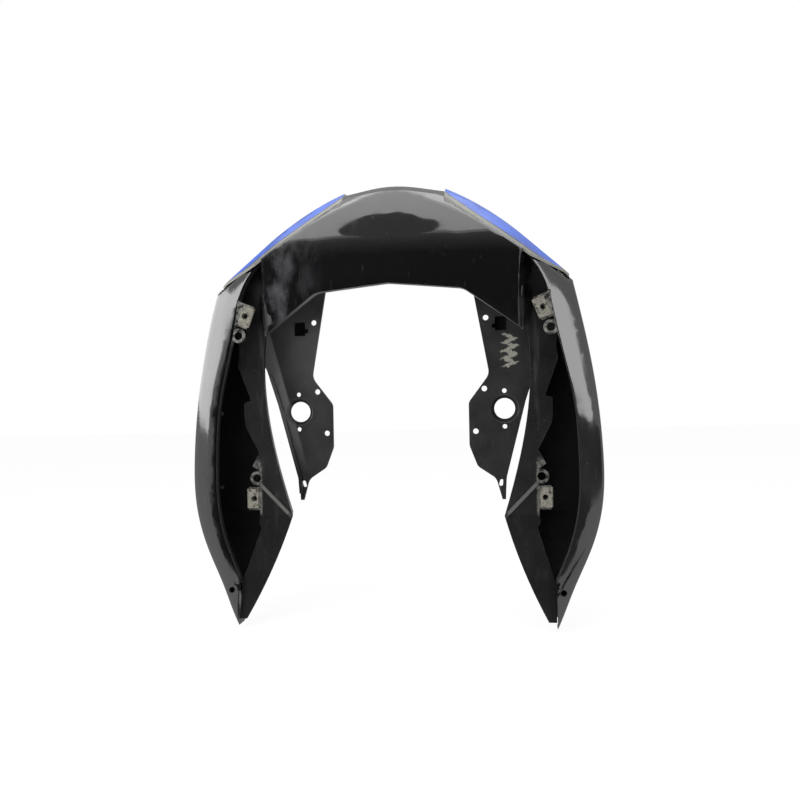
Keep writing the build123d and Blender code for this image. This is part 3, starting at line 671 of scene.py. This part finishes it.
# %% Blue paint
BLUE = (0.03, 0.13, 0.68)
BLUE_DEEP = (0.022, 0.09, 0.5)
BLUE_DUST = (0.45, 0.5, 0.6)
PRIMER = (0.2, 0.198, 0.175)
MARGIN_SHADOW_LINE = (0.03, 0.03, 0.027)
SHADOW_LINE_SPAN = (0.0026, 0.002)
PAINT_LINE = (0.0003, -0.0001)
ORANGE_PEEL = 0.00006
blue_paint, tree, surface, place = new_finish("blue_paint")
cloud = ramp(tree, noise(tree, place, scale=30, detail=3), 0.35, 0.65)
sprayed = mix_colour(tree, cloud, BLUE, BLUE_DEEP)
sprayed = mix_colour(tree, specks(tree, place, scale=150, size=0.06, share=0.3), sprayed, BLUE_DUST)
past_margin = behind_margin(tree, place)
# a painted shadow line where the paint begins
sprayed = mix_colour(tree, ramp(tree, past_margin, *SHADOW_LINE_SPAN), sprayed, MARGIN_SHADOW_LINE)
bare = calc(tree, "MAXIMUM", looking(tree, "Z", 0.25, 0.12), ramp(tree, past_margin, *PAINT_LINE))
tree.links.new(mix_colour(tree, bare, sprayed, PRIMER), surface.inputs["Base Color"])
rough = ramp(tree, noise(tree, place, scale=18, detail=4), 0.4, 0.7, 0.16, 0.3)
tree.links.new(rough, surface.inputs["Roughness"])
surface.inputs["Specular IOR Level"].default_value = 0.2
surface.inputs["Coat Weight"].default_value = 0.08
surface.inputs["Coat Roughness"].default_value = 0.1
bump(tree, surface, noise(tree, place, scale=420, detail=2), ORANGE_PEEL)
print(blue_paint.name, len(tree.nodes), "nodes")

# %% [markdown]
# ## Matt black plastic
# The liners are unpainted and moulded with a fine grain. Bump from two noises gives the grain, wipes
# and dust grey it, and painted shade keeps the deep hollow behind the cheeks almost black. A ridge slants
# across the lower end of each liner. Its shape is in the model, and the material adds a pale line along
# its top, painted shade on the face below it, and grime round the tab beside it.

# %% Ridge and tab of the liners
RIDGE_TOP = (0.154, -0.08)
RIDGE_ACROSS = (0.718, -0.696)
RIDGE_START = (-0.0005, 0.0)
RIDGE_END = (0.004, 0.0032)
RIDGE_SHADE = (0.004, 0.0045)
RIDGE_INNER = (0.12, 0.124)
RIDGE_OUTER = (0.157, 0.153)
RIDGE_DEPTH = (-0.035, -0.037)
LINER_TAB_LOW = (-0.118, -0.112)
LINER_TAB_HIGH = (-0.052, -0.058)
LINER_TAB_DEPTH = (-0.0405, -0.0415)
LINER_TAB_REACH = (0.1535, 0.1555)


def liner_ridge(tree, place):
    """The pale line along the ridge's top, and the painted shade on the face below it."""
    x, y, z = axes(tree, place)
    reach = calc(tree, "ABSOLUTE", x)
    side_step = calc(tree, "MULTIPLY", calc(tree, "SUBTRACT", reach, RIDGE_TOP[0]), RIDGE_ACROSS[0])
    drop_step = calc(tree, "MULTIPLY", calc(tree, "SUBTRACT", z, RIDGE_TOP[1]), RIDGE_ACROSS[1])
    across = calc(tree, "ADD", side_step, drop_step)
    on_line = calc(tree, "MULTIPLY", ramp(tree, across, *RIDGE_START), ramp(tree, across, *RIDGE_END))
    along = calc(tree, "MULTIPLY", ramp(tree, reach, *RIDGE_INNER), ramp(tree, reach, *RIDGE_OUTER))
    ridge_top_line = calc(tree, "MULTIPLY", on_line, along, ramp(tree, y, *RIDGE_DEPTH))
    return ridge_top_line, ramp(tree, across, *RIDGE_SHADE)


def liner_tab(tree, place):
    """1 on the tab at the liner's outer edge."""
    x, y, z = axes(tree, place)
    height = calc(tree, "MULTIPLY", ramp(tree, z, *LINER_TAB_LOW), ramp(tree, z, *LINER_TAB_HIGH))
    outermost = ramp(tree, calc(tree, "ABSOLUTE", x), *LINER_TAB_REACH)
    return calc(tree, "MULTIPLY", height, ramp(tree, y, *LINER_TAB_DEPTH), outermost)


# %% Matt plastic
MATT_BLACK = (0.007, 0.007, 0.0074)
MATT_CLOUD = (0.012, 0.012, 0.0124)
MATT_WIPE = (0.05, 0.05, 0.048)
MATT_SHADE = (0.004, 0.004, 0.0044)
MATT_HOLLOW_SHADE = (0.005, 0.005, 0.0054)
RIDGE_GREY = (0.09, 0.09, 0.086)
LINER_TAB_GRIME = (0.12, 0.118, 0.105)
WIPE_SHARE = 0.4
SHADE_SHARE = 0.6
FINE_GRAIN = 0.5
GRAIN_HEIGHT = 0.00025
HOLLOW_SHADE_DEPTH = (-0.045, -0.01)
matt_plastic, tree, surface, place = new_finish("matt_plastic")
cloud = ramp(tree, noise(tree, place, scale=22, detail=5), 0.35, 0.7)
colour = mix_colour(tree, cloud, MATT_BLACK, MATT_CLOUD)
wipe_space = stretched(tree, place, stretch=(1, 1, 0.15), turn=(0, 0.2, 0))
wipe = ramp(tree, noise(tree, wipe_space, scale=120, detail=3), 0.58, 0.75)
colour = mix_colour(tree, calc(tree, "MULTIPLY", wipe, WIPE_SHARE), colour, MATT_WIPE)
colour = mix_colour(tree, specks(tree, place, scale=170, size=0.06, share=0.3), colour, DUST)
ridge_top_line, shade_below_ridge = liner_ridge(tree, place)
# painted shade on the liner's face below the ridge
colour = mix_colour(tree, calc(tree, "MULTIPLY", shade_below_ridge, SHADE_SHARE), colour, MATT_SHADE)
colour = mix_colour(tree, ridge_top_line, colour, RIDGE_GREY)
grime = ramp(tree, noise(tree, place, scale=240, detail=4, roughness=0.6), 0.36, 0.58)
dirty_tab = calc(tree, "MULTIPLY", liner_tab(tree, place), grime)
colour = mix_colour(tree, dirty_tab, colour, LINER_TAB_GRIME)
# painted shade, near black, in the deep hollow behind the cheeks
painted_hollow_shade = ramp(tree, axes(tree, place)["Y"], *HOLLOW_SHADE_DEPTH)
tree.links.new(mix_colour(tree, painted_hollow_shade, colour, MATT_HOLLOW_SHADE), surface.inputs["Base Color"])
tree.links.new(ramp(tree, cloud, 0, 1, 0.42, 0.6), surface.inputs["Roughness"])
surface.inputs["Specular IOR Level"].default_value = 0.35
fine_grain = calc(tree, "MULTIPLY", noise(tree, place, scale=2400, detail=1), FINE_GRAIN)
grain = calc(tree, "ADD", noise(tree, place, scale=900, detail=2), fine_grain)
bump(tree, surface, grain, GRAIN_HEIGHT)
print(matt_plastic.name, len(tree.nodes), "nodes")

# %% [markdown]
# ## Marks on the arms
# The arm on the rider's right has painted light, more of it towards its top, and a painted highlight band
# along its outer edge. The other one carries a yard's paint-pen mark, a dense zigzag with no meaning. It
# is drawn in the material: a ping-pong of the height makes the zigzag's line, and noise pushes the line
# about and breaks it up like a dry pen.

# %% Painted light and highlight band on one arm
BAND_SLOPE = 0.27
BAND_EDGE = (0.128, 0.1305)
BAND_HEIGHT = (-0.07, 0.05)
LIGHT_HEIGHT = (0.02, 0.09)
RIGHT_ARM = (-0.05, -0.1)
ARM_FRONT = (-0.3, -0.6)


def painted_light_on_arm(tree, place):
    """Painted light on one arm, more of it towards the top."""
    x, _, z = axes(tree, place)
    return calc(tree, "MULTIPLY", ramp(tree, x, *RIGHT_ARM), ramp(tree, z, *LIGHT_HEIGHT))


def painted_highlight_band(tree, place):
    """A painted highlight band along the outer edge of the same arm's front, which fades downwards."""
    x, _, z = axes(tree, place)
    across = calc(tree, "SUBTRACT", calc(tree, "ABSOLUTE", x), calc(tree, "MULTIPLY", z, BAND_SLOPE))
    on_front = calc(tree, "MULTIPLY", ramp(tree, across, *BAND_EDGE), looking(tree, "Y", *ARM_FRONT))
    return calc(tree, "MULTIPLY", on_front, ramp(tree, x, *RIGHT_ARM), ramp(tree, z, *BAND_HEIGHT))


# %% Pen mark on the other arm
MARK_X = 0.1275
MARK_LOW = 0.048
MARK_HIGH = 0.0855
MARK_EDGE = 0.001
MARK_SWING = 0.011
MARK_STEP = 0.0046
MARK_PEN = 0.0058
MARK_CORE = 0.6
MARK_WOBBLE = 0.003


def pen_mark(tree, place):
    """A zigzag drawn up the front of the arm with a dry pen."""
    x, _, z = axes(tree, place)
    wobble = ramp(tree, noise(tree, place, scale=160, detail=3), 0.2, 0.8, -MARK_WOBBLE, MARK_WOBBLE)
    climb = calc(tree, "ADD", calc(tree, "SUBTRACT", z, MARK_LOW), wobble)
    turns = calc(tree, "PINGPONG", climb, MARK_STEP)
    line_x = calc(tree, "MULTIPLY", calc(tree, "SUBTRACT", turns, MARK_STEP / 2), MARK_SWING / MARK_STEP)
    from_line = calc(tree, "ADD", calc(tree, "SUBTRACT", x, MARK_X, line_x), wobble)
    pen = ramp(tree, calc(tree, "ABSOLUTE", from_line), MARK_PEN, MARK_PEN * MARK_CORE)
    dry = ramp(tree, noise(tree, place, scale=600, detail=3), 0.28, 0.42)
    height = calc(tree, "ADD", z, wobble)
    above_foot = ramp(tree, height, MARK_LOW, MARK_LOW + MARK_EDGE)
    below_head = ramp(tree, height, MARK_HIGH, MARK_HIGH - MARK_EDGE)
    on_front = looking(tree, "Y", *ARM_FRONT)
    return calc(tree, "MULTIPLY", pen, dry, above_foot, below_head, on_front)


# %% [markdown]
# ## Arm plastic
# The lamp arms are a smoother matt plastic than the liners, with scuffs. Their backs and the bores'
# walls lie in the dark: they get painted shade, near black, and are dull, so the depth tells them from the
# front. The marks from the last step go on top.

# %% Arm plastic
ARM_BLACK = (0.018, 0.018, 0.0185)
ARM_CLOUD = (0.03, 0.03, 0.0305)
ARM_PAINTED_LIGHT = (0.07, 0.07, 0.069)
ARM_SCUFF = (0.09, 0.09, 0.088)
ARM_RECESS_SHADE = (0.004, 0.004, 0.0042)
BAND_HIGHLIGHT = (0.2, 0.2, 0.198)
MARK_COLOUR = (0.27, 0.265, 0.225)
MARK_ROUGHNESS = 0.3
SCUFF_SHARE = 0.35
SHADE_DEPTH = (0.0, 0.005)
DULL_DEPTH = (0.0, 0.003)
DULL_ROUGHNESS = 0.9
ARM_GRAIN = 0.00012
arm_plastic, tree, surface, place = new_finish("arm_plastic")
depth = axes(tree, place)["Y"]
cloud = ramp(tree, noise(tree, place, scale=26, detail=5), 0.35, 0.7)
colour = mix_colour(tree, cloud, ARM_BLACK, ARM_CLOUD)
# painted light on the rider's right arm, more of it towards its top
painted_light = calc(tree, "MULTIPLY", painted_light_on_arm(tree, place), ramp(tree, cloud, 0, 1, 0.6, 1.0))
colour = mix_colour(tree, painted_light, colour, ARM_PAINTED_LIGHT)
scuff_space = stretched(tree, place, stretch=(1, 1, 0.12), turn=(0, 0.9, 0))
scuff = ramp(tree, noise(tree, scuff_space, scale=260, detail=3), 0.64, 0.76)
colour = mix_colour(tree, calc(tree, "MULTIPLY", scuff, SCUFF_SHARE), colour, ARM_SCUFF)
colour = mix_colour(tree, specks(tree, place, scale=150, size=0.06, share=0.3), colour, DUST)
# painted shade, near black, on the arms' backs and in the bores, by depth
colour = mix_colour(tree, ramp(tree, depth, *SHADE_DEPTH), colour, ARM_RECESS_SHADE)
# painted highlight band along that arm's outer edge
colour = mix_colour(tree, painted_highlight_band(tree, place), colour, BAND_HIGHLIGHT)
pen = pen_mark(tree, place)
tree.links.new(mix_colour(tree, pen, colour, MARK_COLOUR), surface.inputs["Base Color"])
rough = ramp(tree, cloud, 0, 1, 0.38, 0.52)
rough = calc(tree, "ADD", rough, calc(tree, "MULTIPLY", pen, MARK_ROUGHNESS))
rough = calc(tree, "MAXIMUM", rough, ramp(tree, depth, *DULL_DEPTH, 0.0, DULL_ROUGHNESS))
tree.links.new(rough, surface.inputs["Roughness"])
surface.inputs["Specular IOR Level"].default_value = 0.4
bump(tree, surface, noise(tree, place, scale=1300, detail=2), ARM_GRAIN)
print(arm_plastic.name, len(tree.nodes), "nodes")

# %% [markdown]
# ## Clip and screw steel
# The clip nuts are folded spring steel with a zinc coat gone dull and beige, dirty in the corners, and
# the screws are a greyer steel with the same plating. One helper makes both: brown grime follows a coarse
# noise and is less metallic, and a fine noise gives the spangle of the plating.

# %% Steel
PIT_DEPTH = 0.0002


def plated_steel(name, bright, dull, grime):
    """Old zinc plating with grime and small pits."""
    finish, tree, surface, place = new_finish(name)
    spangle = ramp(tree, noise(tree, place, scale=500, detail=2), 0.35, 0.65)
    plated = mix_colour(tree, spangle, dull, bright)
    dirt = ramp(tree, noise(tree, place, scale=150, detail=5, roughness=0.6), 0.47, 0.64)
    tree.links.new(mix_colour(tree, dirt, plated, grime), surface.inputs["Base Color"])
    tree.links.new(ramp(tree, dirt, 0, 1, 0.65, 0.1), surface.inputs["Metallic"])
    tree.links.new(ramp(tree, dirt, 0, 1, 0.4, 0.75), surface.inputs["Roughness"])
    bump(tree, surface, noise(tree, place, scale=800, detail=3), PIT_DEPTH)
    print(name, len(tree.nodes), "nodes")
    return finish


clip_steel = plated_steel("clip_steel", (0.46, 0.44, 0.37), (0.3, 0.29, 0.245), (0.03, 0.027, 0.021))
screw_steel = plated_steel("screw_steel", (0.22, 0.22, 0.22), (0.14, 0.14, 0.14), (0.03, 0.028, 0.025))

# %% [markdown]
# ## Dress the pieces
# Each node's slot in the record picks its finish. The nodes come as loose triangles, so a Weld joins
# them before a Bevel rounds the sharp edges, by half a millimetre or a little more on the larger
# mouldings, and gives those faces the edge finish.

# %% Rounded edges
EDGE_WIDTH = 0.0005
EDGE_WIDTHS = {"nose_panel": 0.0009, "liner_left": 0.0007, "liner_right": 0.0007}
EDGE_ANGLE = math.radians(38)
EDGE_SEGMENTS = 2
EDGE_MATERIAL = 1
WELD_DISTANCE = 0.00001


def round_edges(piece, width):
    """Join the triangles and round the sharp edges."""
    weld = piece.modifiers.new("join", "WELD")
    weld.merge_threshold = WELD_DISTANCE
    bevel = piece.modifiers.new("edges", "BEVEL")
    bevel.width = width
    bevel.segments = EDGE_SEGMENTS
    bevel.limit_method = "ANGLE"
    bevel.angle_limit = EDGE_ANGLE
    bevel.material = EDGE_MATERIAL
    bevel.harden_normals = True


# %% Dress the pieces
FINISH_OF_SLOT = {
    "gloss_black": (cheek_lacquer, lacquer_edge),
    "blue_paint": (blue_paint, primer_edge),
    "matt_black": (matt_plastic, plastic_edge),
    "arm_black": (arm_plastic, plastic_edge),
    "clip_steel": (clip_steel, clip_steel),
    "screw_steel": (screw_steel, screw_steel),
}
for entry in frame["record"]["subparts"]:
    piece = frame["nodes"][entry["node"]]
    finish, edge = FINISH_OF_SLOT[entry["material_slot"]]
    if entry["node"] == "nose_panel":
        finish = nose_lacquer
    piece.data.materials.clear()
    piece.data.materials.append(finish)
    piece.data.materials.append(edge)
    round_edges(piece, EDGE_WIDTHS.get(entry["node"], EDGE_WIDTH))

# %% [markdown]
# ## Side flanges of the nose
# Behind each end of the nose panel a narrow flange runs back to the liner and closes the gap between
# the two mouldings. It is a flat strip that is folded once along its length and cut at a slant at its
# foot. It starts as a grid with one line of edges down the middle, each column of corners moves to its
# own edge of the strip, and Solidify gives the wall.

# %% Side flanges
FLANGE_FRONT = (0.1425, -0.0605)
FLANGE_FOLD = (0.1465, -0.052)
FLANGE_BACK = (0.1545, -0.043)
FLANGE_LOW = 0.086
FLANGE_FOOT = (0.0, 0.004, 0.03)
FLANGE_HIGH = 0.171
FLANGE_WALL = 0.0016
FLANGE_ROWS = 6


def side_flange(name, side):
    """A folded strip along one end of the nose, with its front edge inside the nose's own wall."""
    mesh = bpy.data.meshes.new(name)
    shape = bmesh.new()
    columns = (FLANGE_FRONT, FLANGE_FOLD, FLANGE_BACK)
    bmesh.ops.create_grid(shape, x_segments=len(columns) - 1, y_segments=FLANGE_ROWS, size=0.5)
    for corner in shape.verts:
        column = round((corner.co.x + 0.5) * 2)
        place_x, place_y = columns[column]
        low = FLANGE_LOW + FLANGE_FOOT[column]
        height = low + (corner.co.y + 0.5) * (FLANGE_HIGH - low)
        corner.co = (side * place_x, place_y, height)
    bmesh.ops.recalc_face_normals(shape, faces=shape.faces)
    bmesh.ops.solidify(shape, geom=shape.faces[:], thickness=FLANGE_WALL)
    bmesh.ops.recalc_face_normals(shape, faces=shape.faces)
    shape.to_mesh(mesh)
    shape.free()
    piece = bpy.data.objects.new(name, mesh)
    scene.collection.objects.link(piece)
    mesh.materials.append(nose_lacquer)
    mesh.materials.append(lacquer_edge)
    round_edges(piece, EDGE_WIDTH)
    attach(piece, "root")
    return piece


for side_name, side in (("left", 1), ("right", -1)):
    flange = side_flange("nose_flange_" + side_name, side)
    print(flange.name, len(flange.data.polygons), "faces")
